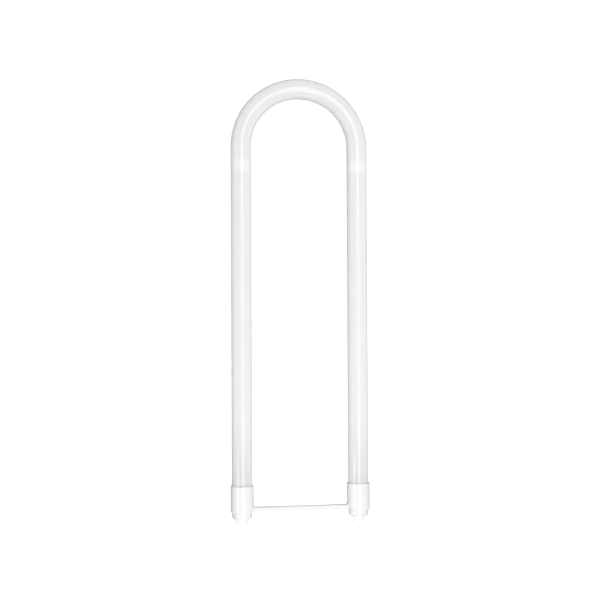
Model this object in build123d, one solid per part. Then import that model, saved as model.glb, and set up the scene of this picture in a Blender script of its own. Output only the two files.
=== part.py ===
from build123d import *
import os
from math import sqrt

# U-bend LED tube, lying flat: one bent tube of frosted glass, a moulded cap with two contact pins on
# each end, a bar that holds the legs apart, and the boards and wires that the glass hides.
# X runs from the left leg to the right leg, Y along the legs towards the bend, Z up.
# The origin is the middle of the footprint, on the surface that the lamp lies on. Millimetres.
# A station is a distance along a leg, counted from the face that its pins stand on.

# Lamp format, which the fitting it goes into sets
LEG_SPACING = 152.4  # between the axes of the two legs
BODY_LENGTH = 570.0  # from the base faces to the outside of the bend
TUBE_DIAMETER = 26.0
TUBE_WALL = 1.0

# Contact pins
PIN_SPACING = 12.7
PIN_DIAMETER = 2.35
PIN_LENGTH = 7.1  # from the base face to the tip
PIN_TIP_ROUND = 0.9
PIN_COLLAR = 0.4  # height of the thicker shank that stands out of the base face
PIN_SHANK_STEP = 0.3  # the shank in the cap is this much larger in radius than the pin
PIN_HEAD_STEP = 0.6  # and the head on its boss this much larger than the shank
PIN_HEAD = 0.8
PIN_CUP_LENGTH = 3.0  # hollow tail that a lead is crimped in
PIN_CUP_WALL = 0.45
PIN_CUP_FLOOR = 0.5
PIN_CLEARANCE = 0.05

# End caps
CAP_WALL = 1.55  # around the glass
CAP_BARREL_LENGTH = 34.0
CAP_STEP = 1.9  # drop in radius from the barrel to the nose
CAP_NOSE_LENGTH = 8.7
CAP_NOSE_ROUND = 3.5
CAP_NOSE_WALL = 2.3
CAP_END_WALL = 2.5
CAP_EDGE_ROUND = 0.6
CAP_LEAD_IN = 0.6  # chamfer inside the rim
BOSS_WALL = 1.5  # around each pin
BOSS_HEIGHT = 4.0
GLASS_CLEARANCE = 0.15  # glue line between glass and cap
STOP_LAND = 4.0  # from the bar's socket to the stop that the glass butts on

# Spacer bar
BAR_WIDTH = 5.2
BAR_THICKNESS = 8.0
BAR_INSET = 0.8  # from the step of the cap to the edge of the bar
BAR_EDGE_ROUND = 1.0
BAR_ROOT = 1.6  # concave round where the bar meets a cap
BAR_ROOT_LAND = 0.5
BAR_FIT = 0.05
TENON_DEPTH = 3.0
TENON_SHOULDER = 0.9  # width of bar left around the tenon
TENON_CLEARANCE = 0.1

# LED boards, with their chips and the clips that hold their far ends
LED_BOARD_WIDTH = 12.0
LED_BOARD_THICKNESS = 1.0
LED_BOARD_TO_BEND = 16.0  # from the end of the board to the start of the bend
LED_LENGTH = 3.5
LED_WIDTH = 2.8
LED_HEIGHT = 0.7
LED_PITCH = 9.5
CLIP_LENGTH = 13.0
CLIP_WALL = 2.2
CLIP_CLEARANCE = 0.15
BOARD_CLEARANCE = 0.1  # from a board's edges to the glass

# Driver boards and what stands on them in a row
DRIVER_BOARD_WIDTH = 18.0
DRIVER_BOARD_THICKNESS = 1.2
DRIVER_TO_STOP = 1.0
DRIVER_TO_LED_BOARD = 8.0
BOARD_PAD = 7.0  # bare length at a board's end, for soldered leads
COMPONENT_GAP = 2.5
SEAT_CLEARANCE = 0.05  # below a round component
FUSE_LENGTH = 8.0
FUSE_DIAMETER = 3.6
FUSE_END = 1.8  # length of each metal end
FUSE_END_STEP = 0.3
RECTIFIER_LENGTH = 6.2
RECTIFIER_WIDTH = 5.0
RECTIFIER_HEIGHT = 2.4
FILM_LENGTH = 10.0
FILM_WIDTH = 5.0
FILM_HEIGHT = 9.0
FILM_ROUND = 0.8
CHOKE_DIAMETER = 9.0
CHOKE_HEIGHT = 8.5
CHOKE_FLANGE = 1.2
CHOKE_WINDING_STEP = 0.8
STORAGE_LENGTH = 15.0
STORAGE_DIAMETER = 8.0
STORAGE_GROOVE = 0.5  # depth of the crimp near the sealed end
STORAGE_GROOVE_AT = 2.0
STORAGE_CHAMFER = 0.6
CONTROL_LENGTH = 4.9
CONTROL_WIDTH = 3.9
CONTROL_HEIGHT = 1.5
PACKAGE_CHAMFER = 0.4

# Leads
LEAD_DIAMETER = 1.2
LEAD_SIDES = 8  # flats around a lead, which keep its bends light
LEAD_CLEARANCE = 0.05
LEAD_BEND = 4.0
LEAD_STRAIGHT = 2.0  # straight run out of a pin
LEAD_LAP = 5.0  # length soldered down on a board
LEAD_OVERHANG = 1.0  # straight run past a board's end before a lead turns down
LEAD_SPACING = 6.0  # between the two leads of a pair on an LED board

# Radii of the tube and the caps
tube_radius = TUBE_DIAMETER / 2
bore_radius = tube_radius - TUBE_WALL
bend_radius = LEG_SPACING / 2
seat_radius = tube_radius + GLASS_CLEARANCE
cap_radius = seat_radius + CAP_WALL
nose_radius = cap_radius - CAP_STEP
cavity_radius = nose_radius - CAP_NOSE_WALL

# Radii of the pins
pin_radius = PIN_DIAMETER / 2
shank_radius = pin_radius + PIN_SHANK_STEP
head_radius = shank_radius + PIN_HEAD_STEP
lead_radius = LEAD_DIAMETER / 2
cup_bore = lead_radius + LEAD_CLEARANCE
cup_radius = cup_bore + PIN_CUP_WALL

# Stations along a leg
boss_top = CAP_END_WALL + BOSS_HEIGHT
cup_start = boss_top + PIN_HEAD
cup_end = cup_start + PIN_CUP_LENGTH
cup_floor = cup_start + PIN_CUP_FLOOR
cap_rim = CAP_NOSE_LENGTH + CAP_BARREL_LENGTH
bar_low = CAP_NOSE_LENGTH + BAR_INSET
bar_high = bar_low + BAR_WIDTH
bar_middle = (bar_low + bar_high) / 2
glass_stop = bar_high + STOP_LAND
bend_start = BODY_LENGTH - tube_radius - bend_radius
component_lengths = {
    "fuse": FUSE_LENGTH,
    "rectifier": RECTIFIER_LENGTH,
    "film_capacitor": FILM_LENGTH,
    "choke": CHOKE_DIAMETER,
    "storage_capacitor": STORAGE_LENGTH,
    "control_chip": CONTROL_LENGTH,
}
row_length = sum(component_lengths.values()) + COMPONENT_GAP * (len(component_lengths) - 1)
driver_start = glass_stop + DRIVER_TO_STOP
driver_end = driver_start + row_length + 2 * BOARD_PAD
led_start = driver_end + DRIVER_TO_LED_BOARD
led_end = bend_start - LED_BOARD_TO_BEND
clip_start = led_end - CLIP_LENGTH


def seat_height(board_width):
    """Height, from the leg's axis, at which a board's lower corners come to rest on the glass."""
    return -sqrt((bore_radius - BOARD_CLEARANCE) ** 2 - (board_width / 2) ** 2)


# Heights from a leg's axis
driver_low = seat_height(DRIVER_BOARD_WIDTH)
driver_top = driver_low + DRIVER_BOARD_THICKNESS
led_low = seat_height(LED_BOARD_WIDTH)
led_top = led_low + LED_BOARD_THICKNESS
lead_on_driver = driver_top + LEAD_CLEARANCE + lead_radius
lead_on_led = led_top + LEAD_CLEARANCE + lead_radius

# Tenon of the bar
tenon_width = BAR_WIDTH - 2 * TENON_SHOULDER
tenon_thickness = BAR_THICKNESS - 2 * TENON_SHOULDER
bar_reach = bend_radius - cap_radius


def turned(*corners):
    """Solid of revolution about Y. Each corner gives its radius, its station and its rounding."""
    points = [(radius, station) for radius, station, _ in corners]
    rounds = [rounding for _, _, rounding in corners]
    return revolve(make_face(FilletPolyline(*points, radius=rounds, close=True)), Axis.Y)


def rod(radius, start, end, x=0.0):
    """Round bar along Y between two stations."""
    return Pos(x, (start + end) / 2, 0) * Rot(90, 0, 0) * Cylinder(radius, end - start)


def block(width, start, end, low, high):
    """Box across the leg's middle, between two stations and two heights."""
    return Pos(0, (start + end) / 2, (low + high) / 2) * Box(width, end - start, high - low)


def wire(path):
    """Insulated lead along a path."""
    section = RegularPolygon(lead_radius, LEAD_SIDES)
    return sweep(Plane(path @ 0, z_dir=path % 0) * section, path)


def glass_tube():
    """One tube, bent once through a half circle, its open ends butting on the stops in the caps."""
    path = Line((-bend_radius, glass_stop), (-bend_radius, bend_start))
    path += CenterArc((0, bend_start), bend_radius, 180, -180)
    path += Line((bend_radius, bend_start), (bend_radius, glass_stop))
    section = Circle(tube_radius) - Circle(bore_radius)
    seam_below = Plane(path @ 0, x_dir=(0, 0, -1), z_dir=path % 0)
    return sweep(seam_below * section, path)


def end_cap():
    """Moulded sleeve with a stepped, rounded nose, a stop for the glass and a boss round each pin."""
    cap = turned(
        (0, 0, 0),
        (nose_radius, 0, CAP_NOSE_ROUND),
        (nose_radius, CAP_NOSE_LENGTH, 0),
        (cap_radius, CAP_NOSE_LENGTH, CAP_EDGE_ROUND),
        (cap_radius, cap_rim, CAP_EDGE_ROUND),
        (seat_radius + CAP_LEAD_IN, cap_rim, 0),
        (seat_radius, cap_rim - CAP_LEAD_IN, 0),
        (seat_radius, glass_stop, 0),
        (cavity_radius, glass_stop, 0),
        (cavity_radius, CAP_END_WALL, 0),
        (0, CAP_END_WALL, 0),
    )
    for x in (-PIN_SPACING / 2, PIN_SPACING / 2):
        cap += rod(shank_radius + BOSS_WALL, CAP_END_WALL, boss_top, x)
        cap -= rod(shank_radius + PIN_CLEARANCE, 0, boss_top, x)
    socket_depth = TENON_DEPTH + TENON_CLEARANCE
    socket = Box(2 * socket_depth, tenon_width + 2 * TENON_CLEARANCE, tenon_thickness + 2 * TENON_CLEARANCE)
    return cap - Pos(cap_radius, bar_middle, 0) * socket


def contact_pin():
    """Turned pin with a domed tip, a head that rests on its boss and a hollow tail for a lead."""
    return turned(
        (0, -PIN_LENGTH, 0),
        (pin_radius, -PIN_LENGTH, PIN_TIP_ROUND),
        (pin_radius, -PIN_COLLAR, 0),
        (shank_radius, -PIN_COLLAR, 0),
        (shank_radius, boss_top, 0),
        (head_radius, boss_top, 0),
        (head_radius, cup_start, 0),
        (cup_radius, cup_start, 0),
        (cup_radius, cup_end, 0),
        (cup_bore, cup_end, 0),
        (cup_bore, cup_floor, 0),
        (0, cup_floor, 0),
    )


def spacer_bar():
    """Bar with rounded roots, hollowed ends that fit the barrels, and a tenon into each cap."""
    blank_length = 2 * (bar_reach + CAP_WALL)
    blank = Pos(0, bar_middle + BAR_ROOT / 2) * Rectangle(blank_length, BAR_WIDTH + BAR_ROOT)
    relief_length = 2 * (bar_reach - BAR_ROOT_LAND)
    relief = Pos(0, bar_high + 2 * BAR_ROOT) * RectangleRounded(relief_length, 4 * BAR_ROOT, BAR_ROOT)
    bar = extrude(blank - relief, BAR_THICKNESS / 2, both=True)
    long_edges = bar.edges().filter_by(Axis.X).sort_by(SortBy.LENGTH)[-4:]
    bar = fillet(long_edges, BAR_EDGE_ROUND)
    for x in (-bend_radius, bend_radius):
        bar -= rod(cap_radius + BAR_FIT, 0, cap_rim, x)
    tenon = Box(2 * (bar_reach + TENON_DEPTH), tenon_width, tenon_thickness)
    return bar + Pos(0, bar_middle, 0) * tenon


def led_chips():
    """Row of light-emitting chips along the bare middle of an LED board."""
    room = clip_start - led_start - 2 * BOARD_PAD - LED_LENGTH
    gaps = int(room // LED_PITCH)
    first = led_start + BOARD_PAD + LED_LENGTH / 2 + (room - gaps * LED_PITCH) / 2
    chip = Box(LED_WIDTH, LED_LENGTH, LED_HEIGHT)
    height = led_top + LED_HEIGHT / 2
    return Compound([Pos(0, first + n * LED_PITCH, height) * chip for n in range(gaps + 1)])


def board_clip():
    """Sprung ring inside the glass, open below for the end of the LED board and its wires."""
    outside = bore_radius - CLIP_CLEARANCE
    ring = rod(outside, clip_start, led_end) - rod(outside - CLIP_WALL, clip_start, led_end)
    gap_width = LED_BOARD_WIDTH + 2 * CLIP_CLEARANCE
    gap_top = lead_on_led + lead_radius + CLIP_CLEARANCE
    return ring - block(gap_width, clip_start, led_end, -bore_radius, gap_top)


def package(length, width, height):
    """Moulded chip package with sloping upper edges, standing on its board."""
    body = Pos(0, 0, height / 2) * Box(width, length, height)
    return chamfer(body.faces().sort_by(Axis.Z)[-1].edges(), PACKAGE_CHAMFER)


def fuse():
    """Tube fuse lying along the board, with a metal end at each side."""
    end_radius = FUSE_DIAMETER / 2
    half = FUSE_LENGTH / 2
    body = turned(
        (0, -half, 0),
        (end_radius, -half, 0),
        (end_radius, FUSE_END - half, 0),
        (end_radius - FUSE_END_STEP, FUSE_END - half, 0),
        (end_radius - FUSE_END_STEP, half - FUSE_END, 0),
        (end_radius, half - FUSE_END, 0),
        (end_radius, half, 0),
        (0, half, 0),
    )
    return Pos(0, 0, end_radius + SEAT_CLEARANCE) * body


def film_capacitor():
    """Dipped block capacitor with rounded edges above its flat foot."""
    body = Pos(0, 0, FILM_HEIGHT / 2) * Box(FILM_WIDTH, FILM_LENGTH, FILM_HEIGHT)
    foot = body.faces().sort_by(Axis.Z)[0].edges()
    return fillet([edge for edge in body.edges() if edge not in foot], FILM_ROUND)


def choke():
    """Drum core standing on one flange, with its winding between the flanges."""
    radius = CHOKE_DIAMETER / 2
    winding = radius - CHOKE_WINDING_STEP
    drum = turned(
        (0, 0, 0),
        (radius, 0, 0),
        (radius, CHOKE_FLANGE, 0),
        (winding, CHOKE_FLANGE, 0),
        (winding, CHOKE_HEIGHT - CHOKE_FLANGE, 0),
        (radius, CHOKE_HEIGHT - CHOKE_FLANGE, 0),
        (radius, CHOKE_HEIGHT, 0),
        (0, CHOKE_HEIGHT, 0),
    )
    return Rot(90, 0, 0) * drum


def storage_capacitor():
    """Can capacitor lying along the board, crimped near its sealed end."""
    radius = STORAGE_DIAMETER / 2
    half = STORAGE_LENGTH / 2
    groove = STORAGE_GROOVE_AT - half
    can = turned(
        (0, -half, 0),
        (radius - STORAGE_CHAMFER, -half, 0),
        (radius, STORAGE_CHAMFER - half, 0),
        (radius, groove - STORAGE_GROOVE, 0),
        (radius - STORAGE_GROOVE, groove, 0),
        (radius, groove + STORAGE_GROOVE, 0),
        (radius, half - STORAGE_CHAMFER, 0),
        (radius - STORAGE_CHAMFER, half, 0),
        (0, half, 0),
    )
    return Pos(0, 0, radius + SEAT_CLEARANCE) * can


def driver_components():
    """Each component's name and its solid, one behind the other along the driver board."""
    solids = {
        "fuse": fuse(),
        "rectifier": package(RECTIFIER_LENGTH, RECTIFIER_WIDTH, RECTIFIER_HEIGHT),
        "film_capacitor": film_capacitor(),
        "choke": choke(),
        "storage_capacitor": storage_capacitor(),
        "control_chip": package(CONTROL_LENGTH, CONTROL_WIDTH, CONTROL_HEIGHT),
    }
    station = driver_start + BOARD_PAD
    row = {}
    for name, length in component_lengths.items():
        row[name] = Pos(0, station + length / 2, driver_top) * solids[name]
        station += length + COMPONENT_GAP
    return row


def lead_pair(spacing, route):
    """Two leads side by side that follow the same stations and heights."""
    sides = (-spacing / 2, spacing / 2)
    paths = [FilletPolyline([(x, *point) for point in route], radius=LEAD_BEND) for x in sides]
    return Compound([wire(path) for path in paths])


def pin_leads():
    """From the tail of each pin down to the near end of the driver board."""
    route = (
        (cup_floor, 0),
        (cup_end + LEAD_STRAIGHT, 0),
        (driver_start, lead_on_driver),
        (driver_start + LEAD_LAP, lead_on_driver),
    )
    return lead_pair(PIN_SPACING, route)


def board_leads():
    """From the far end of the driver board down to the LED board."""
    route = (
        (driver_end - LEAD_LAP, lead_on_driver),
        (driver_end + LEAD_OVERHANG, lead_on_driver),
        (led_start - LEAD_OVERHANG, lead_on_led),
        (led_start + LEAD_LAP, lead_on_led),
    )
    return lead_pair(LEAD_SPACING, route)


def bend_link_wires():
    """Two wires through the bend that join the far ends of the LED boards."""
    wires = []
    for radius in (bend_radius - LEAD_SPACING / 2, bend_radius + LEAD_SPACING / 2):
        start = led_end - LEAD_LAP
        path = Line((-radius, start, lead_on_led), (-radius, bend_start, lead_on_led))
        path += CenterArc((0, bend_start, lead_on_led), radius, 180, -180)
        path += Line((radius, bend_start, lead_on_led), (radius, start, lead_on_led))
        wires.append(wire(path))
    return Compound(wires)


# The lamp rests on its caps, with its footprint centred on the origin
lamp = Pos(0, (PIN_LENGTH - BODY_LENGTH) / 2, cap_radius)
nodes = {
    "glass_tube": lamp * glass_tube(),
    "spacer_bar": lamp * spacer_bar(),
    "bend_link_wires": lamp * bend_link_wires(),
}
for side, x in (("left", -bend_radius), ("right", bend_radius)):
    leg = lamp * Pos(x, 0, 0)
    inward = Rot(0, 0, 0) if side == "left" else Rot(0, 180, 0)
    nodes[f"{side}_end_cap"] = leg * inward * end_cap()
    nodes[f"{side}_inner_pin"] = leg * inward * Pos(PIN_SPACING / 2, 0, 0) * contact_pin()
    nodes[f"{side}_outer_pin"] = leg * inward * Pos(-PIN_SPACING / 2, 0, 0) * contact_pin()
    nodes[f"{side}_led_board"] = leg * block(LED_BOARD_WIDTH, led_start, led_end, led_low, led_top)
    nodes[f"{side}_led_chips"] = leg * led_chips()
    nodes[f"{side}_board_clip"] = leg * board_clip()
    nodes[f"{side}_driver_board"] = leg * block(
        DRIVER_BOARD_WIDTH, driver_start, driver_end, driver_low, driver_top
    )
    for name, component in driver_components().items():
        nodes[f"{side}_{name}"] = leg * component
    nodes[f"{side}_pin_leads"] = leg * pin_leads()
    nodes[f"{side}_board_leads"] = leg * board_leads()

os.makedirs("parts", exist_ok=True)
for node, shape in nodes.items():
    export_step(shape, f"parts/{node}.step")
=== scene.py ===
from collections import namedtuple
from math import cos, pi, radians, sin, tan

import bmesh
import bpy
from mathutils import Euler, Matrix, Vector, noise


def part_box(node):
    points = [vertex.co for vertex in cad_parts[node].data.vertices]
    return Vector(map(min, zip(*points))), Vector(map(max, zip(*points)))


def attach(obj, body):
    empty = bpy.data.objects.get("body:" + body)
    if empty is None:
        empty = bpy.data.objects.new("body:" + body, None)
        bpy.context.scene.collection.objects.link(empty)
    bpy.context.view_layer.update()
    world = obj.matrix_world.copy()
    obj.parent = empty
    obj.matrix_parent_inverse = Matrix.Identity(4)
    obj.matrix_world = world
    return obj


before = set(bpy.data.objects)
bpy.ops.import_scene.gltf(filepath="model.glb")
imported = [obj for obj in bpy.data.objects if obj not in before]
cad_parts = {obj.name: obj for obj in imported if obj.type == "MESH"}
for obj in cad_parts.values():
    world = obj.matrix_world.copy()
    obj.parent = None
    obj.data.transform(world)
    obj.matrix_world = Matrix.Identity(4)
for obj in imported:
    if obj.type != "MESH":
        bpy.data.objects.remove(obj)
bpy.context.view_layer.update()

# Finishes for a U-bend LED tube that lies on a white studio floor. The solids are the packed frame's own:
# this file gives each one its surface, adds the glue that shows at the caps, and sets floor, light and
# camera. Lengths are metres, in the frame's axes: X from the left leg to the right, Y towards the bend,
# Z up.

bl_info = {
    "name": "U-bend LED tube finishes",
    "version": (1, 0, 0),
    "blender": (4, 5, 0),
    "location": "View3D > Sidebar > Lamp",
    "description": "Finishes the pieces of a U-bend LED tube and lights it on a white floor",
    "category": "Material",
}

MM = 0.001
SIDES = ("left", "right")

# Places that the finishes are tied to, all taken from the packed pieces
glass_low, glass_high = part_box("glass_tube")
cap_low, cap_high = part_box("right_end_cap")
strip_low, strip_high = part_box("right_led_board")
chips_low, chips_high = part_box("right_led_chips")
clip_low, clip_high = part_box("right_board_clip")
LEG_X = (cap_low.x + cap_high.x) / 2
AXIS_Z = (glass_low.z + glass_high.z) / 2
TUBE_RADIUS = (glass_high.z - glass_low.z) / 2
RIM_Y = cap_high.y
DRIVER_END_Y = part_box("right_driver_board")[1].y


def linear(code):
    """Linear red, green, blue and alpha of an sRGB hex colour."""
    shares = [int(code[i:i + 2], 16) / 255 for i in (1, 3, 5)]
    return (*(s / 12.92 if s <= 0.04045 else ((s + 0.055) / 1.055) ** 2.4 for s in shares), 1.0)


class GlassFinish(bpy.types.PropertyGroup):
    """Look of the bent glass tube."""

    coating: bpy.props.FloatVectorProperty(
        name="Coating",
        description="White scattering layer behind the clear wall",
        subtype="COLOR",
        size=4,
        default=linear("#EDEDED"),
    )
    thin_coating: bpy.props.FloatVectorProperty(
        name="Thin coating",
        description="Coating where it lies a little thinner",
        subtype="COLOR",
        size=4,
        default=linear("#E9E9E9"),
    )
    # Painted shade: the coating is drawn darker beside the caps, standing in for the light that the driver
    # boards behind the wall take away
    painted_driver_shade: bpy.props.FloatVectorProperty(
        name="Over the drivers",
        description="Coating beside the caps, where the driver boards behind it take light away",
        subtype="COLOR",
        size=4,
        default=linear("#DFDFDF"),
    )
    driver_reach: bpy.props.FloatProperty(
        name="Driver reach",
        description="How far past the driver boards their shade begins",
        unit="LENGTH",
        default=30 * MM,
    )
    # Painted shade: the coating is drawn darker next to each cap's rim, where the cap takes light away
    painted_rim_shade: bpy.props.FloatVectorProperty(
        name="At the rims",
        description="Coating in the last few millimetres before the caps, which swallow light",
        subtype="COLOR",
        size=4,
        default=linear("#D5D5D5"),
    )
    rim_reach: bpy.props.FloatProperty(
        name="Rim reach",
        description="How far from a cap's rim the glass begins to darken",
        unit="LENGTH",
        default=6 * MM,
    )
    # Painted light: a paler patch of coating where a white clip behind the wall would show through
    painted_clip_light: bpy.props.FloatVectorProperty(
        name="Over the clips",
        description="Coating where the near part of a white clip presses on the glass",
        subtype="COLOR",
        size=4,
        default=linear("#F1F1F1"),
    )
    patch: bpy.props.FloatProperty(
        name="Coating patch",
        description="Size of the patches in which the coating's thickness drifts",
        unit="LENGTH",
        default=30 * MM,
    )
    wave: bpy.props.FloatProperty(
        name="Drawing wave",
        description="Length of the waves that drawing leaves in the wall",
        unit="LENGTH",
        default=22 * MM,
    )
    wave_depth: bpy.props.FloatProperty(
        name="Wave depth",
        description="Depth of the drawing waves",
        unit="LENGTH",
        default=0.006 * MM,
    )
    roughness: bpy.props.FloatProperty(
        name="Roughness",
        description="Roughness of the fire polished outside",
        subtype="FACTOR",
        min=0,
        max=1,
        default=0.08,
    )


class PlasticFinish(bpy.types.PropertyGroup):
    """Look of the moulded caps and bar."""

    colour: bpy.props.FloatVectorProperty(
        name="Plastic",
        description="White pigmented polycarbonate",
        subtype="COLOR",
        size=4,
        default=linear("#EEEEEE"),
    )
    flow_colour: bpy.props.FloatVectorProperty(
        name="Flow shade",
        description="Shade of the slow streaks that the melt leaves",
        subtype="COLOR",
        size=4,
        default=linear("#EAEAEA"),
    )
    flow: bpy.props.FloatProperty(
        name="Flow streak",
        description="Width of the streaks",
        unit="LENGTH",
        default=6 * MM,
    )
    texture: bpy.props.FloatProperty(
        name="Mould texture",
        description="Size of the grains that the eroded mould prints",
        unit="LENGTH",
        default=0.35 * MM,
    )
    texture_depth: bpy.props.FloatProperty(
        name="Texture depth",
        description="Depth of those grains",
        unit="LENGTH",
        default=0.004 * MM,
    )
    roughness: bpy.props.FloatProperty(
        name="Roughness",
        description="Roughness of the caps' skin",
        subtype="FACTOR",
        min=0,
        max=1,
        default=0.2,
    )
    sheen: bpy.props.FloatProperty(
        name="Sheen",
        description="How much the caps' skin mirrors",
        subtype="FACTOR",
        min=0,
        max=1,
        default=0.35,
    )
    bar_roughness: bpy.props.FloatProperty(
        name="Bar roughness",
        description="Roughness of the bar's skin, from a coarser mould",
        subtype="FACTOR",
        min=0,
        max=1,
        default=0.6,
    )
    bar_sheen: bpy.props.FloatProperty(
        name="Bar sheen",
        description="How much the bar's skin mirrors",
        subtype="FACTOR",
        min=0,
        max=1,
        default=0.1,
    )


class MetalFinish(bpy.types.PropertyGroup):
    """Look of the contact pins."""

    plating: bpy.props.FloatVectorProperty(
        name="Plating",
        description="Nickel over turned brass",
        subtype="COLOR",
        size=4,
        default=linear("#E4E4E4"),
    )
    tool_mark: bpy.props.FloatProperty(
        name="Tool mark",
        description="Spacing of the turning marks, drawn coarser than real so that they show",
        unit="LENGTH",
        default=0.3 * MM,
    )
    tool_depth: bpy.props.FloatProperty(
        name="Tool mark depth",
        description="Depth of the turning marks",
        unit="LENGTH",
        default=0.004 * MM,
    )


class GlueBead(bpy.types.PropertyGroup):
    """Silicone that holds the glass in the caps."""

    colour: bpy.props.FloatVectorProperty(
        name="Silicone",
        description="Cured white silicone",
        subtype="COLOR",
        size=4,
        default=linear("#EFEFED"),
    )
    climb: bpy.props.FloatProperty(
        name="Climb",
        description="How far the bead creeps up the glass from the rim",
        unit="LENGTH",
        default=0.35 * MM,
    )
    width: bpy.props.FloatProperty(
        name="Width",
        description="How far the bead reaches out from the glass at the rim",
        unit="LENGTH",
        default=0.6 * MM,
    )
    depth: bpy.props.FloatProperty(
        name="Depth",
        description="How far the bead goes down between glass and cap",
        unit="LENGTH",
        default=0.5 * MM,
    )
    unevenness: bpy.props.FloatProperty(
        name="Unevenness",
        description="How far the bead's edge wanders as it was wiped",
        unit="LENGTH",
        default=0.08 * MM,
    )


class InnerFinish(bpy.types.PropertyGroup):
    """Look of the boards, components and leads inside the glass."""

    white_mask: bpy.props.FloatVectorProperty(
        name="White mask",
        description="White solder mask on the LED boards",
        subtype="COLOR",
        size=4,
        default=linear("#F2F1EC"),
    )
    aluminium: bpy.props.FloatVectorProperty(
        name="Aluminium",
        description="Bare metal of board edges and capacitor ends",
        subtype="COLOR",
        size=4,
        default=linear("#C9CACB"),
    )
    phosphor: bpy.props.FloatVectorProperty(
        name="Phosphor",
        description="Gel over the light-emitting die",
        subtype="COLOR",
        size=4,
        default=linear("#F0D264"),
    )
    nylon: bpy.props.FloatVectorProperty(
        name="Nylon",
        description="Natural white nylon of the clips",
        subtype="COLOR",
        size=4,
        default=linear("#F1F0EA"),
    )
    green_mask: bpy.props.FloatVectorProperty(
        name="Green mask",
        description="Solder mask on the driver boards",
        subtype="COLOR",
        size=4,
        default=linear("#1F5F3A"),
    )
    track: bpy.props.FloatVectorProperty(
        name="Track",
        description="Copper tracks seen through the green mask",
        subtype="COLOR",
        size=4,
        default=linear("#3B8050"),
    )
    ceramic: bpy.props.FloatVectorProperty(
        name="Ceramic",
        description="Glazed body of the fuses",
        subtype="COLOR",
        size=4,
        default=linear("#E4DDCC"),
    )
    epoxy: bpy.props.FloatVectorProperty(
        name="Black epoxy",
        description="Moulded chip packages",
        subtype="COLOR",
        size=4,
        default=linear("#1D1D1F"),
    )
    dip: bpy.props.FloatVectorProperty(
        name="Dipped epoxy",
        description="Lacquer of the film capacitors",
        subtype="COLOR",
        size=4,
        default=linear("#B4761C"),
    )
    ferrite: bpy.props.FloatVectorProperty(
        name="Ferrite",
        description="Sintered drum of the chokes",
        subtype="COLOR",
        size=4,
        default=linear("#303033"),
    )
    copper: bpy.props.FloatVectorProperty(
        name="Copper",
        description="Enamelled wire on the chokes",
        subtype="COLOR",
        size=4,
        default=linear("#B8692F"),
    )
    sleeve: bpy.props.FloatVectorProperty(
        name="Sleeve",
        description="Film shrunk on the storage capacitors",
        subtype="COLOR",
        size=4,
        default=linear("#1E2848"),
    )
    live_lead: bpy.props.FloatVectorProperty(
        name="Live lead",
        description="Insulation of one lead of each pair",
        subtype="COLOR",
        size=4,
        default=linear("#A3201C"),
    )
    return_lead: bpy.props.FloatVectorProperty(
        name="Return lead",
        description="Insulation of the other lead of each pair",
        subtype="COLOR",
        size=4,
        default=linear("#232325"),
    )
    led_pitch: bpy.props.FloatProperty(
        name="LED pitch",
        description="From one light-emitting chip to the next",
        unit="LENGTH",
        default=9.5 * MM,
    )


class StudioSetup(bpy.types.PropertyGroup):
    """Floor, light and camera."""

    floor_size: bpy.props.FloatProperty(
        name="Floor size",
        description="Length of each side of the light table",
        unit="LENGTH",
        default=12.0,
    )
    table: bpy.props.FloatVectorProperty(
        name="Table",
        description="Opal sheet of the light table, as it looks unlit",
        subtype="COLOR",
        size=4,
        default=linear("#6E6E6E"),
    )
    floor_glow: bpy.props.FloatProperty(
        name="Floor light",
        description="Light that the table sends to the camera by itself",
        default=1.0,
    )
    sky: bpy.props.FloatProperty(
        name="Room light",
        description="Brightness of the white room around the floor",
        default=0.61,
    )
    aim: bpy.props.FloatVectorProperty(
        name="Aim",
        description="Point that the camera looks at",
        subtype="TRANSLATION",
        default=(0.33 * MM, 0.43 * MM, 14.7 * MM),
    )
    distance: bpy.props.FloatProperty(
        name="Camera distance",
        description="From the aim to the camera",
        unit="LENGTH",
        default=1.4,
    )
    yaw: bpy.props.FloatProperty(
        name="Yaw",
        description="How far the camera stands to the left of straight above",
        unit="ROTATION",
        default=radians(8.136),
    )
    pitch: bpy.props.FloatProperty(
        name="Pitch",
        description="How far the camera stands towards the bend",
        unit="ROTATION",
        default=radians(-0.764),
    )
    roll: bpy.props.FloatProperty(
        name="Roll",
        description="How far the camera is turned about its own line of sight",
        unit="ROTATION",
        default=radians(0.284),
    )
    lens: bpy.props.FloatProperty(
        name="Lens",
        description="Focal length, in millimetres, on a sensor 36 mm wide",
        subtype="DISTANCE_CAMERA",
        default=64.52,
    )


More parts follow.
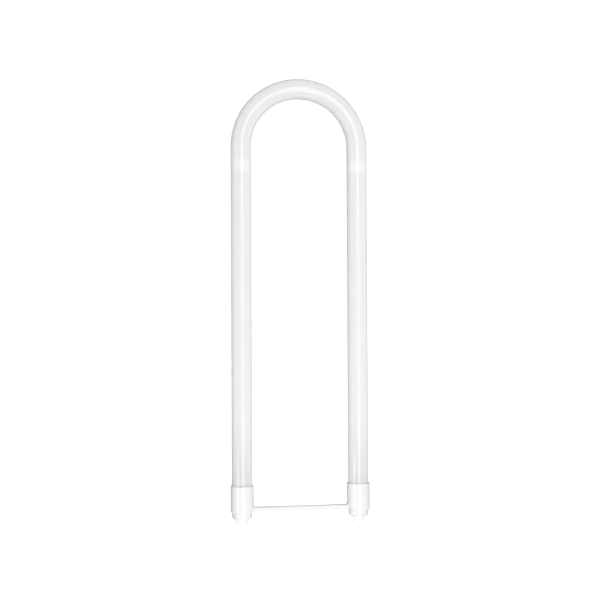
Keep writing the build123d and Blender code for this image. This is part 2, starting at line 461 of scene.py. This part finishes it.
# A soft box has its middle at its place and faces its aim. Light is its radiance straight ahead, and
# beam the full angle that its grid lets out, or None without a grid.
SoftBox = namedtuple("SoftBox", "name place aim width length light beam")
SOFT_BOXES = (
    SoftBox("ceiling_panel", (0.1, -0.1, 1.32), (0.1, -0.1, 0.0), 0.7, 1.4, 2.2, None),
    SoftBox("bend_strip", (0.06, 0.4, 1.3), (0.06, 0.4, 0.0), 0.32, 0.42, 1.8, None),
    SoftBox("cap_strip", (0.08, -0.5, 1.3), (0.08, -0.5, 0.0), 0.26, 0.46, 2.4, None),
    SoftBox("left_front_box", (-1.6, -0.7, 1.3), (0.0, -0.25, 0.0), 0.45, 0.5, 8.0, radians(34)),
    SoftBox("left_back_box", (-1.7, 0.48, 1.2), (0.0, 0.2, 0.0), 0.09, 0.5, 2.4, None),
    SoftBox("low_front_box", (0.0, -0.75, 0.14), (0.0, -0.28, 0.02), 0.45, 0.24, 1.9, None),
    SoftBox("right_ceiling_box", (0.9, 0.0, 1.3), (0.9, 0.0, 0.0), 0.6, 1.6, 0.56, None),
    SoftBox("right_wall_box", (2.95, 0.0, 0.52), (0.0, 0.0, 0.0), 2.4, 1.0, 0.4, None),
    SoftBox("left_wall_box", (-2.95, 0.2, 0.52), (0.0, 0.2, 0.0), 2.4, 1.0, 0.8, None),
    SoftBox("lit_table_patch", (0.0, -0.232, 0.002), (0.0, -0.232, 1.0), 0.07, 0.06, 0.6, None),
)


# Sockets of a node that mixes two colours: how much of the second, the two colours, and the mix
SHARE, FIRST, SECOND, MIXED = 0, 6, 7, 2

# A wave texture of scale 1 runs through this many radians in a metre
WAVE_RADIANS = 20


def add_node(tree, kind, settings=None, inputs=None):
    """Add a node. Each input takes a constant, or the output socket that feeds it."""
    node = tree.nodes.new(kind)
    for name, value in (settings or {}).items():
        setattr(node, name, value)
    for name, value in (inputs or {}).items():
        socket = node.inputs[name]
        if isinstance(value, bpy.types.NodeSocket):
            tree.links.new(value, socket)
        else:
            socket.default_value = value
    return node


def blank_material(name):
    """New material without nodes, its node tree, and the place in the frame of the point being shaded."""
    material = bpy.data.materials.new(name)
    material.use_nodes = True
    tree = material.node_tree
    tree.nodes.clear()
    place = add_node(tree, "ShaderNodeTexCoord").outputs["Object"]
    return material, tree, place


def close_material(material, inputs):
    """Give a material its shader, with these inputs."""
    tree = material.node_tree
    shader = add_node(tree, "ShaderNodeBsdfPrincipled", inputs=inputs)
    add_node(tree, "ShaderNodeOutputMaterial", inputs={"Surface": shader.outputs["BSDF"]})
    return material


def mottle(tree, place, size, low, high):
    """Colour that drifts between two shades, in patches of this size."""
    patches = add_node(
        tree, "ShaderNodeTexNoise", inputs={"Vector": place, "Scale": 1 / size, "Detail": 3.0}
    )
    blend = add_node(
        tree,
        "ShaderNodeMix",
        {"data_type": "RGBA"},
        {SHARE: patches.outputs["Fac"], FIRST: low, SECOND: high},
    )
    return blend.outputs[MIXED]


def grain(tree, place, size, depth):
    """Normal of a surface with random grain of this size and depth."""
    grains = add_node(
        tree, "ShaderNodeTexNoise", inputs={"Vector": place, "Scale": 1 / size, "Detail": 2.0}
    )
    relief = add_node(tree, "ShaderNodeBump", inputs={"Height": grains.outputs["Fac"], "Distance": depth})
    return relief.outputs["Normal"]


def across_leg(tree, place):
    """Distance from the nearer leg's middle plane, positive on the outside."""
    axes = add_node(tree, "ShaderNodeSeparateXYZ", inputs={"Vector": place})
    from_middle = add_node(tree, "ShaderNodeMath", {"operation": "ABSOLUTE"}, {0: axes.outputs["X"]})
    offset = add_node(
        tree, "ShaderNodeMath", {"operation": "SUBTRACT"}, {0: from_middle.outputs[0], 1: LEG_X}
    )
    return offset.outputs[0]


def near_ends(tree, place, low, high, reach):
    """1 within this reach of either end of a stretch along Y, and 0 between."""
    axes = add_node(tree, "ShaderNodeSeparateXYZ", inputs={"Vector": place})
    offset = add_node(
        tree, "ShaderNodeMath", {"operation": "SUBTRACT"}, {0: axes.outputs["Y"], 1: (low + high) / 2}
    )
    distance = add_node(tree, "ShaderNodeMath", {"operation": "ABSOLUTE"}, {0: offset.outputs[0]})
    past = add_node(
        tree,
        "ShaderNodeMath",
        {"operation": "GREATER_THAN"},
        {0: distance.outputs[0], 1: (high - low) / 2 - reach},
    )
    return past.outputs[0]


def frosted_glass(finish):
    """Soda-lime glass tube, drawn, bent hot and coated white inside."""
    # The fire polished outside mirrors each lamp as a clean line, and the coating behind it scatters light
    # like milk.
    material, tree, place = blank_material("frosted soda-lime glass, drawn and coated")
    axes = add_node(tree, "ShaderNodeSeparateXYZ", inputs={"Vector": place})
    coating = mottle(tree, place, finish.patch, finish.thin_coating, finish.coating)
    # Painted shade: darker towards a cap, where the driver board stands behind the wall and would take
    # light away
    shade_start = DRIVER_END_Y + finish.driver_reach
    driver_shade = add_node(
        tree,
        "ShaderNodeMapRange",
        inputs={"Value": axes.outputs["Y"], "From Min": shade_start, "From Max": RIM_Y},
    )
    shaded = add_node(
        tree,
        "ShaderNodeMix",
        {"data_type": "RGBA"},
        {SHARE: driver_shade.outputs[0], FIRST: coating, SECOND: finish.painted_driver_shade},
    )
    # Painted shade: darker still in the last millimetres, which the cap's rim shades
    to_rim = add_node(
        tree,
        "ShaderNodeMapRange",
        inputs={"Value": axes.outputs["Y"], "From Min": RIM_Y + finish.rim_reach, "From Max": RIM_Y},
    )
    rim_falloff = 1.5
    rim_shade = add_node(
        tree, "ShaderNodeMath", {"operation": "POWER"}, {0: to_rim.outputs[0], 1: rim_falloff}
    )
    rimmed = add_node(
        tree,
        "ShaderNodeMix",
        {"data_type": "RGBA"},
        {SHARE: rim_shade.outputs[0], FIRST: shaded.outputs[MIXED], SECOND: finish.painted_rim_shade},
    )
    # Painted light: paler where a clip presses on the wall from behind and its white would show through,
    # apart from the wall's steep sides
    clip_half = (clip_high.y - clip_low.y) / 2
    clip_press = clip_low.y + clip_half / 2
    glow_reach = 1.7 * clip_half
    glow_core = 0.6 * clip_half
    from_clip = add_node(
        tree, "ShaderNodeMath", {"operation": "SUBTRACT"}, {0: axes.outputs["Y"], 1: clip_press}
    )
    clip_distance = add_node(tree, "ShaderNodeMath", {"operation": "ABSOLUTE"}, {0: from_clip.outputs[0]})
    clip_glow = add_node(
        tree,
        "ShaderNodeMapRange",
        {"interpolation_type": "SMOOTHSTEP"},
        {"Value": clip_distance.outputs[0], "From Min": glow_reach, "From Max": glow_core},
    )
    touching_half = 0.6 * TUBE_RADIUS
    side = add_node(tree, "ShaderNodeMath", {"operation": "ABSOLUTE"}, {0: across_leg(tree, place)})
    touching = add_node(
        tree,
        "ShaderNodeMapRange",
        {"interpolation_type": "SMOOTHSTEP"},
        {"Value": side.outputs[0], "From Min": TUBE_RADIUS, "From Max": touching_half},
    )
    clip_light_share = add_node(
        tree, "ShaderNodeMath", {"operation": "MULTIPLY"}, {0: clip_glow.outputs[0], 1: touching.outputs[0]}
    )
    banded = add_node(
        tree,
        "ShaderNodeMix",
        {"data_type": "RGBA"},
        {SHARE: clip_light_share.outputs[0], FIRST: rimmed.outputs[MIXED], SECOND: finish.painted_clip_light},
    )
    return close_material(
        material,
        {
            "Base Color": banded.outputs[MIXED],
            "Roughness": finish.roughness,
            "Diffuse Roughness": 1.0,
            "IOR": 1.52,
            "Normal": grain(tree, place, finish.wave, finish.wave_depth),
        },
    )


def moulded_polycarbonate(name, finish, roughness, sheen):
    """White polycarbonate, injection moulded in an eroded mould."""
    # A fine mould leaves a glossy skin with soft streaks of light, a coarse one a dull skin. The pigment
    # below spreads light, so that the flanks stay nearly as white as the top.
    material, tree, place = blank_material(name)
    return close_material(
        material,
        {
            "Base Color": mottle(tree, place, finish.flow, finish.flow_colour, finish.colour),
            "Roughness": roughness,
            "Diffuse Roughness": 0.4,
            "Specular IOR Level": sheen,
            "IOR": 1.58,
            "Normal": grain(tree, place, finish.texture, finish.texture_depth),
        },
    )


def nickel_plate(finish):
    """Brass pins, turned and then plated with bright nickel."""
    # Plating takes up the white of the room, and fine rings from the tool break its reflections.
    material, tree, place = blank_material("nickel plated brass, turned")
    rings = add_node(
        tree,
        "ShaderNodeTexWave",
        {"wave_type": "BANDS", "bands_direction": "Y"},
        {"Vector": place, "Scale": 2 * pi / (WAVE_RADIANS * finish.tool_mark), "Distortion": 0.6},
    )
    relief = add_node(
        tree, "ShaderNodeBump", inputs={"Height": rings.outputs["Fac"], "Distance": finish.tool_depth}
    )
    return close_material(
        material,
        {
            "Base Color": finish.plating,
            "Metallic": 1.0,
            "Roughness": 0.25,
            "Normal": relief.outputs["Normal"],
        },
    )


def cured_silicone(bead):
    """Silicone adhesive, wiped and cured."""
    # Soft satin white, a little warmer than the plastic beside it.
    material, tree, place = blank_material("white silicone, wiped and cured")
    return close_material(
        material,
        {
            "Base Color": mottle(tree, place, size=2 * MM, low=linear("#E8E8E5"), high=bead.colour),
            "Roughness": 0.45,
            "IOR": 1.41,
            "Normal": grain(tree, place, size=0.8 * MM, depth=0.02 * MM),
        },
    )


def masked_aluminium(inner):
    """Aluminium circuit board with white solder mask and bare cut edges."""
    # Matt white paper-like face; the sawn edge of the metal shows as a grey line.
    material, tree, place = blank_material("white solder mask on aluminium, screen printed")
    offset = across_leg(tree, place)
    distance = add_node(tree, "ShaderNodeMath", {"operation": "ABSOLUTE"}, {0: offset})
    half_width = (strip_high.x - strip_low.x) / 2
    edge_depth = 0.05 * MM
    edge = add_node(
        tree,
        "ShaderNodeMath",
        {"operation": "GREATER_THAN"},
        {0: distance.outputs[0], 1: half_width - edge_depth},
    )
    mask = mottle(tree, place, size=3 * MM, low=linear("#ECEBE5"), high=inner.white_mask)
    face = add_node(
        tree,
        "ShaderNodeMix",
        {"data_type": "RGBA"},
        {SHARE: edge.outputs[0], FIRST: mask, SECOND: inner.aluminium},
    )
    return close_material(
        material,
        {
            "Base Color": face.outputs[MIXED],
            "Metallic": edge.outputs[0],
            "Roughness": 0.5,
            "Normal": grain(tree, place, size=0.3 * MM, depth=0.01 * MM),
        },
    )


def phosphor_gel(inner):
    """Light-emitting chips: a white frame filled with phosphor gel."""
    # From the front each chip is a yellow window in a white frame.
    material, tree, place = blank_material("phosphor gel in a white moulded frame")
    chip_length = 3.5 * MM
    frame_width = 0.4 * MM
    first = chips_low.y + chip_length / 2
    axes = add_node(tree, "ShaderNodeSeparateXYZ", inputs={"Vector": place})
    from_first = add_node(
        tree,
        "ShaderNodeMath",
        {"operation": "SUBTRACT"},
        {0: axes.outputs["Y"], 1: first - inner.led_pitch / 2},
    )
    along = add_node(
        tree, "ShaderNodeMath", {"operation": "MODULO"}, {0: from_first.outputs[0], 1: inner.led_pitch}
    )
    from_chip = add_node(
        tree, "ShaderNodeMath", {"operation": "SUBTRACT"}, {0: along.outputs[0], 1: inner.led_pitch / 2}
    )
    inside_length = add_node(
        tree,
        "ShaderNodeMath",
        {"operation": "COMPARE"},
        {0: from_chip.outputs[0], 1: 0.0, 2: chip_length / 2 - frame_width},
    )
    half_width = (chips_high.x - chips_low.x) / 2
    inside_width = add_node(
        tree,
        "ShaderNodeMath",
        {"operation": "COMPARE"},
        {0: across_leg(tree, place), 1: 0.0, 2: half_width - frame_width},
    )
    window = add_node(
        tree,
        "ShaderNodeMath",
        {"operation": "MULTIPLY"},
        {0: inside_length.outputs[0], 1: inside_width.outputs[0]},
    )
    gel = mottle(tree, place, size=0.5 * MM, low=linear("#E6C552"), high=inner.phosphor)
    face = add_node(
        tree,
        "ShaderNodeMix",
        {"data_type": "RGBA"},
        {SHARE: window.outputs[0], FIRST: inner.white_mask, SECOND: gel},
    )
    return close_material(
        material,
        {
            "Base Color": face.outputs[MIXED],
            "Roughness": 0.4,
            "Normal": grain(tree, place, size=0.4 * MM, depth=0.01 * MM),
        },
    )


def moulded_nylon(inner):
    """Natural nylon, injection moulded."""
    # Slightly waxy off-white with a satin skin.
    material, tree, place = blank_material("natural nylon, injection moulded")
    return close_material(
        material,
        {
            "Base Color": mottle(tree, place, size=4 * MM, low=linear("#E9E8E1"), high=inner.nylon),
            "Roughness": 0.42,
            "IOR": 1.53,
            "Normal": grain(tree, place, size=0.5 * MM, depth=0.01 * MM),
        },
    )


def green_board(inner):
    """Glass fibre circuit board with green solder mask over copper tracks."""
    # Tracks show as paler green lanes under a satin lacquer.
    material, tree, place = blank_material("glass fibre circuit board, green solder mask")
    tracks = add_node(
        tree,
        "ShaderNodeTexBrick",
        {"offset": 0.37},
        {
            "Vector": place,
            "Color1": inner.track,
            "Color2": inner.track,
            "Mortar": inner.green_mask,
            "Scale": 1.0,
            "Mortar Size": 0.35 * MM,
            "Brick Width": 7 * MM,
            "Row Height": 1.6 * MM,
        },
    )
    return close_material(
        material,
        {
            "Base Color": tracks.outputs["Color"],
            "Roughness": 0.35,
            "Normal": grain(tree, place, size=0.6 * MM, depth=0.015 * MM),
        },
    )


def glazed_ceramic(inner, fuse_low, fuse_high):
    """Ceramic fuse body, glazed, with a pressed metal cup on each end."""
    # Glossy cream tube between two bright cups.
    material, tree, place = blank_material("ceramic, glazed, with plated end cups")
    cup_length = 1.8 * MM
    cups = near_ends(tree, place, fuse_low.y, fuse_high.y, cup_length)
    glaze = mottle(tree, place, size=2 * MM, low=linear("#D9D1BE"), high=inner.ceramic)
    face = add_node(
        tree,
        "ShaderNodeMix",
        {"data_type": "RGBA"},
        {SHARE: cups, FIRST: glaze, SECOND: inner.aluminium},
    )
    return close_material(
        material,
        {
            "Base Color": face.outputs[MIXED],
            "Metallic": cups,
            "Roughness": 0.22,
            "Normal": grain(tree, place, size=0.7 * MM, depth=0.01 * MM),
        },
    )


def black_epoxy(inner):
    """Filled epoxy, transfer moulded."""
    # Dull charcoal with a fine sandy skin.
    material, tree, place = blank_material("filled black epoxy, moulded")
    return close_material(
        material,
        {
            "Base Color": mottle(tree, place, size=1 * MM, low=inner.epoxy, high=linear("#29292B")),
            "Roughness": 0.6,
            "Normal": grain(tree, place, size=0.2 * MM, depth=0.015 * MM),
        },
    )


def dipped_lacquer(inner):
    """Epoxy lacquer, dipped and drained."""
    # Glossy ochre that is darker where it ran.
    material, tree, place = blank_material("epoxy lacquer, dipped")
    return close_material(
        material,
        {
            "Base Color": mottle(tree, place, size=3 * MM, low=linear("#96600F"), high=inner.dip),
            "Roughness": 0.2,
            "Normal": grain(tree, place, size=2 * MM, depth=0.06 * MM),
        },
    )


def wound_ferrite(inner, choke_low, choke_high):
    """Ferrite drum, sintered, wound with enamelled copper between its flanges."""
    # Dull black flanges with a ribbed copper waist.
    material, tree, place = blank_material("sintered ferrite with enamelled copper winding")
    flange = 1.2 * MM
    wire = 0.4 * MM
    axes = add_node(tree, "ShaderNodeSeparateXYZ", inputs={"Vector": place})
    waist = add_node(
        tree,
        "ShaderNodeMath",
        {"operation": "COMPARE"},
        {
            0: axes.outputs["Z"],
            1: (choke_low.z + choke_high.z) / 2,
            2: (choke_high.z - choke_low.z) / 2 - flange,
        },
    )
    turns = add_node(
        tree,
        "ShaderNodeTexWave",
        {"wave_type": "BANDS", "bands_direction": "Z"},
        {"Vector": place, "Scale": 2 * pi / (WAVE_RADIANS * wire)},
    )
    ribs = add_node(
        tree,
        "ShaderNodeMath",
        {"operation": "MULTIPLY"},
        {0: turns.outputs["Fac"], 1: waist.outputs[0]},
    )
    relief = add_node(
        tree, "ShaderNodeBump", inputs={"Height": ribs.outputs[0], "Distance": wire / 2}
    )
    core = mottle(tree, place, size=1 * MM, low=inner.ferrite, high=linear("#3C3C3F"))
    face = add_node(
        tree,
        "ShaderNodeMix",
        {"data_type": "RGBA"},
        {SHARE: waist.outputs[0], FIRST: core, SECOND: inner.copper},
    )
    return close_material(
        material,
        {
            "Base Color": face.outputs[MIXED],
            "Metallic": waist.outputs[0],
            "Roughness": 0.45,
            "Normal": relief.outputs["Normal"],
        },
    )


def shrunk_sleeve(inner, can_low, can_high):
    """Aluminium can in a shrunk film sleeve with a pale polarity stripe."""
    # Dark glossy film, bare metal at both ends.
    material, tree, place = blank_material("polyester film sleeve, shrunk on aluminium")
    bare_end = 0.65 * MM
    stripe_half = 1.1 * MM
    ends = near_ends(tree, place, can_low.y, can_high.y, bare_end)
    axes = add_node(tree, "ShaderNodeSeparateXYZ", inputs={"Vector": place})
    upper = add_node(
        tree,
        "ShaderNodeMath",
        {"operation": "GREATER_THAN"},
        {0: axes.outputs["Z"], 1: (can_low.z + can_high.z) / 2},
    )
    lane = add_node(
        tree,
        "ShaderNodeMath",
        {"operation": "COMPARE"},
        {0: across_leg(tree, place), 1: 0.0, 2: stripe_half},
    )
    stripe = add_node(
        tree, "ShaderNodeMath", {"operation": "MULTIPLY"}, {0: upper.outputs[0], 1: lane.outputs[0]}
    )
    film = add_node(
        tree,
        "ShaderNodeMix",
        {"data_type": "RGBA"},
        {SHARE: stripe.outputs[0], FIRST: inner.sleeve, SECOND: linear("#B9BDC6")},
    )
    face = add_node(
        tree,
        "ShaderNodeMix",
        {"data_type": "RGBA"},
        {SHARE: ends, FIRST: film.outputs[MIXED], SECOND: inner.aluminium},
    )
    return close_material(
        material,
        {
            "Base Color": face.outputs[MIXED],
            "Metallic": ends,
            "Roughness": 0.28,
            "Normal": grain(tree, place, size=1.5 * MM, depth=0.02 * MM),
        },
    )


def extruded_insulation(inner):
    """Soft insulation, extruded over stranded wire, one colour for each lead of a pair."""
    # Satin skin with a faint spiral of the strands below.
    material, tree, place = blank_material("soft insulation, extruded")
    outside = add_node(
        tree, "ShaderNodeMath", {"operation": "GREATER_THAN"}, {0: across_leg(tree, place), 1: 0.0}
    )
    face = add_node(
        tree,
        "ShaderNodeMix",
        {"data_type": "RGBA"},
        {SHARE: outside.outputs[0], FIRST: inner.return_lead, SECOND: inner.live_lead},
    )
    return close_material(
        material,
        {
            "Base Color": face.outputs[MIXED],
            "Roughness": 0.4,
            "Normal": grain(tree, place, size=0.6 * MM, depth=0.02 * MM),
        },
    )


def dress(material, *names):
    """Give CAD nodes this material in place of the packed one."""
    for name in names:
        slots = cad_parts[name].data.materials
        slots.clear()
        slots.append(material)


def both(*names):
    """Names of the left and the right one of each piece."""
    return [f"{side}_{name}" for side in SIDES for name in names]


class LAMP_OT_glass_tube(bpy.types.Operator):
    """Finish the bent glass tube"""

    bl_idname = "lamp.glass_tube"
    bl_label = "Glass Tube"

    def execute(self, context):
        dress(frosted_glass(context.scene.lamp_glass), "glass_tube")
        return {"FINISHED"}


class LAMP_OT_moulded_ends(bpy.types.Operator):
    """Finish the end caps and the spacer bar"""

    bl_idname = "lamp.moulded_ends"
    bl_label = "Caps and Bar"

    def execute(self, context):
        finish = context.scene.lamp_plastic
        glossy = moulded_polycarbonate(
            "white polycarbonate, injection moulded", finish, finish.roughness, finish.sheen
        )
        dull = moulded_polycarbonate(
            "white polycarbonate, coarse moulded", finish, finish.bar_roughness, finish.bar_sheen
        )
        dress(glossy, *both("end_cap"))
        dress(dull, "spacer_bar")
        return {"FINISHED"}


class LAMP_OT_contact_pins(bpy.types.Operator):
    """Finish the contact pins"""

    bl_idname = "lamp.contact_pins"
    bl_label = "Contact Pins"

    def execute(self, context):
        dress(nickel_plate(context.scene.lamp_metal), *both("inner_pin", "outer_pin"))
        return {"FINISHED"}


class LAMP_OT_glue_beads(bpy.types.Operator):
    """Lay the bead of glue that shows between each cap's rim and the glass"""

    bl_idname = "lamp.glue_beads"
    bl_label = "Glue Beads"

    def execute(self, context):
        bead = context.scene.lamp_glue
        material = cured_silicone(bead)
        for side, x in zip(SIDES, (-LEG_X, LEG_X)):
            mesh = bpy.data.meshes.new(f"{side}_glue_bead")
            self.lay(mesh, bead, x)
            mesh.materials.append(material)
            piece = bpy.data.objects.new(f"{side}_glue_bead", mesh)
            context.scene.collection.objects.link(piece)
            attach(piece, "root")
        return {"FINISHED"}

    def lay(self, mesh, bead, x):
        """Ring of small sections around the glass, hollow-faced where the glue was wiped."""
        steps = 96
        face_points = 5
        skin_gap = 0.01 * MM
        inside = TUBE_RADIUS + skin_gap
        waviness = 2.2
        own_noise = Vector((x * 40, 0, 0))
        rings = []
        shape = bmesh.new()
        for step in range(steps):
            angle = 2 * pi * step / steps
            around = Vector((cos(angle), 0, sin(angle)))
            drift = noise.noise(around * waviness + own_noise) * bead.unevenness
            section = [(inside, -bead.depth)]
            for n in range(face_points):
                share = n / (face_points - 1)
                hollow = (1 - sin(share * pi / 2)) * bead.width
                rise = (1 - cos(share * pi / 2)) * (bead.climb + drift)
                section.append((inside + hollow, rise))
            rings.append(
                [shape.verts.new((x + r * around.x, RIM_Y + y, AXIS_Z + r * around.z)) for r, y in section]
            )
        for ring, following in zip(rings, rings[1:] + rings[:1]):
            for n in range(len(ring)):
                m = (n + 1) % len(ring)
                face = shape.faces.new((ring[n], ring[m], following[m], following[n]))
                face.smooth = True
        bmesh.ops.recalc_face_normals(shape, faces=shape.faces)
        shape.to_mesh(mesh)
        shape.free()


class LAMP_OT_led_boards(bpy.types.Operator):
    """Finish the LED boards, their chips and the clips that hold them"""

    bl_idname = "lamp.led_boards"
    bl_label = "LED Boards"

    def execute(self, context):
        inner = context.scene.lamp_inner
        dress(masked_aluminium(inner), *both("led_board"))
        dress(phosphor_gel(inner), *both("led_chips"))
        dress(moulded_nylon(inner), *both("board_clip"))
        return {"FINISHED"}


class LAMP_OT_driver_boards(bpy.types.Operator):
    """Finish the driver boards and the components on them"""

    bl_idname = "lamp.driver_boards"
    bl_label = "Driver Boards"

    def execute(self, context):
        inner = context.scene.lamp_inner
        dress(green_board(inner), *both("driver_board"))
        dress(glazed_ceramic(inner, *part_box("right_fuse")), *both("fuse"))
        dress(black_epoxy(inner), *both("rectifier", "control_chip"))
        dress(dipped_lacquer(inner), *both("film_capacitor"))
        dress(wound_ferrite(inner, *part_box("right_choke")), *both("choke"))
        dress(shrunk_sleeve(inner, *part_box("right_storage_capacitor")), *both("storage_capacitor"))
        return {"FINISHED"}


class LAMP_OT_leads(bpy.types.Operator):
    """Finish the insulated leads"""

    bl_idname = "lamp.leads"
    bl_label = "Leads"

    def execute(self, context):
        insulation = extruded_insulation(context.scene.lamp_inner)
        dress(insulation, *both("pin_leads", "board_leads"), "bend_link_wires")
        return {"FINISHED"}


class LAMP_OT_studio(bpy.types.Operator):
    """Set the white floor, the soft light and the camera"""

    bl_idname = "lamp.studio"
    bl_label = "Studio"

    def execute(self, context):
        studio = context.scene.lamp_studio
        self.lay_floor(context, studio)
        self.set_room(context, studio)
        for box in SOFT_BOXES:
            self.hang_soft_box(context, box)
        self.set_camera(context, studio)
        context.scene.view_settings.view_transform = "Standard"
        return {"FINISHED"}

    def lay_floor(self, context, studio):
        """Light table: white to the camera, while it sends little light back up to the lamp's edges."""
        mesh = bpy.data.meshes.new("floor")
        shape = bmesh.new()
        bmesh.ops.create_grid(shape, x_segments=8, y_segments=8, size=studio.floor_size / 2)
        shape.to_mesh(mesh)
        shape.free()
        material, tree, place = blank_material("opal acrylic, cast, lit from below")
        opal = add_node(
            tree,
            "ShaderNodeBsdfDiffuse",
            inputs={"Color": studio.table, "Normal": grain(tree, place, size=1.5 * MM, depth=0.02 * MM)},
        )
        path = add_node(tree, "ShaderNodeLightPath")
        strength = add_node(
            tree,
            "ShaderNodeMath",
            {"operation": "MULTIPLY"},
            {0: path.outputs["Is Camera Ray"], 1: studio.floor_glow},
        )
        glow = add_node(tree, "ShaderNodeEmission", inputs={"Strength": strength.outputs[0]})
        sheet = add_node(
            tree, "ShaderNodeAddShader", inputs={0: opal.outputs["BSDF"], 1: glow.outputs["Emission"]}
        )
        add_node(tree, "ShaderNodeOutputMaterial", inputs={"Surface": sheet.outputs["Shader"]})
        mesh.materials.append(material)
        floor = bpy.data.objects.new("floor", mesh)
        context.scene.collection.objects.link(floor)

    def set_room(self, context, studio):
        """White room, which the camera sees as plain white behind the floor."""
        world = bpy.data.worlds.new("white room")
        world.use_nodes = True
        tree = world.node_tree
        tree.nodes.clear()
        path = add_node(tree, "ShaderNodeLightPath")
        strength = add_node(
            tree,
            "ShaderNodeMapRange",
            inputs={"Value": path.outputs["Is Camera Ray"], "To Min": studio.sky, "To Max": 1.0},
        )
        room = add_node(
            tree,
            "ShaderNodeBackground",
            inputs={"Color": linear("#FFFFFF"), "Strength": strength.outputs[0]},
        )
        add_node(tree, "ShaderNodeOutputWorld", inputs={"Surface": room.outputs["Background"]})
        context.scene.world = world

    def hang_soft_box(self, context, box):
        """Rectangular light that faces its aim."""
        light = bpy.data.lights.new(box.name, "AREA")
        light.shape = "RECTANGLE"
        light.size = box.width
        light.size_y = box.length
        light.energy = box.light * pi * box.width * box.length
        if box.beam:
            # A narrow beam reaches the same radiance with this share of the power
            half = box.beam / 2
            light.spread = box.beam
            light.energy *= 1 - half / tan(half)
        hung = bpy.data.objects.new(box.name, light)
        hung.location = box.place
        hung.rotation_euler = (Vector(box.place) - Vector(box.aim)).to_track_quat("Z", "Y").to_euler()
        hung.visible_camera = False
        context.scene.collection.objects.link(hung)

    def set_camera(self, context, studio):
        """Camera above the lamp, a little to its left."""
        camera = bpy.data.cameras.new("camera")
        camera.sensor_width = 36.0
        camera.lens = studio.lens
        eye = bpy.data.objects.new("camera", camera)
        eye.rotation_mode = "ZXY"
        eye.rotation_euler = Euler((-studio.pitch, -studio.yaw, -studio.roll), "ZXY")
        back = Vector((
            -cos(studio.pitch) * sin(studio.yaw),
            sin(studio.pitch),
            cos(studio.pitch) * cos(studio.yaw),
        ))
        eye.location = Vector(studio.aim) + studio.distance * back
        context.scene.collection.objects.link(eye)
        context.scene.camera = eye


class LAMP_PT_finishes(bpy.types.Panel):
    """Sidebar list of the lamp's finishes"""

    bl_idname = "LAMP_PT_finishes"
    bl_label = "Lamp"
    bl_space_type = "VIEW_3D"
    bl_region_type = "UI"
    bl_category = "Lamp"

    def draw(self, context):
        for operator in OPERATORS:
            self.layout.operator(operator.bl_idname)
        for name, kind in SETTINGS.items():
            column = self.layout.column(heading=kind.__doc__)
            settings = getattr(context.scene, name)
            for key in kind.__annotations__:
                column.prop(settings, key)


SETTINGS = {
    "lamp_glass": GlassFinish,
    "lamp_plastic": PlasticFinish,
    "lamp_metal": MetalFinish,
    "lamp_glue": GlueBead,
    "lamp_inner": InnerFinish,
    "lamp_studio": StudioSetup,
}
OPERATORS = (
    LAMP_OT_glass_tube,
    LAMP_OT_moulded_ends,
    LAMP_OT_contact_pins,
    LAMP_OT_glue_beads,
    LAMP_OT_led_boards,
    LAMP_OT_driver_boards,
    LAMP_OT_leads,
    LAMP_OT_studio,
)


def register():
    """Make the settings, operators and panel known to Blender."""
    for kind in (*SETTINGS.values(), *OPERATORS, LAMP_PT_finishes):
        bpy.utils.register_class(kind)
    for name, kind in SETTINGS.items():
        setattr(bpy.types.Scene, name, bpy.props.PointerProperty(type=kind))


def unregister():
    """Take them out again."""
    for name in SETTINGS:
        delattr(bpy.types.Scene, name)
    for kind in (LAMP_PT_finishes, *reversed(OPERATORS), *SETTINGS.values()):
        bpy.utils.unregister_class(kind)


def main():
    """Finish every piece, set the studio and write down the boxes of the solids and of the dressed lamp."""
    register()
    bpy.ops.lamp.glass_tube()
    bpy.ops.lamp.moulded_ends()
    bpy.ops.lamp.contact_pins()
    bpy.ops.lamp.glue_beads()
    bpy.ops.lamp.led_boards()
    bpy.ops.lamp.driver_boards()
    bpy.ops.lamp.leads()
    bpy.ops.lamp.studio()


if __name__ == "__main__":
    main()
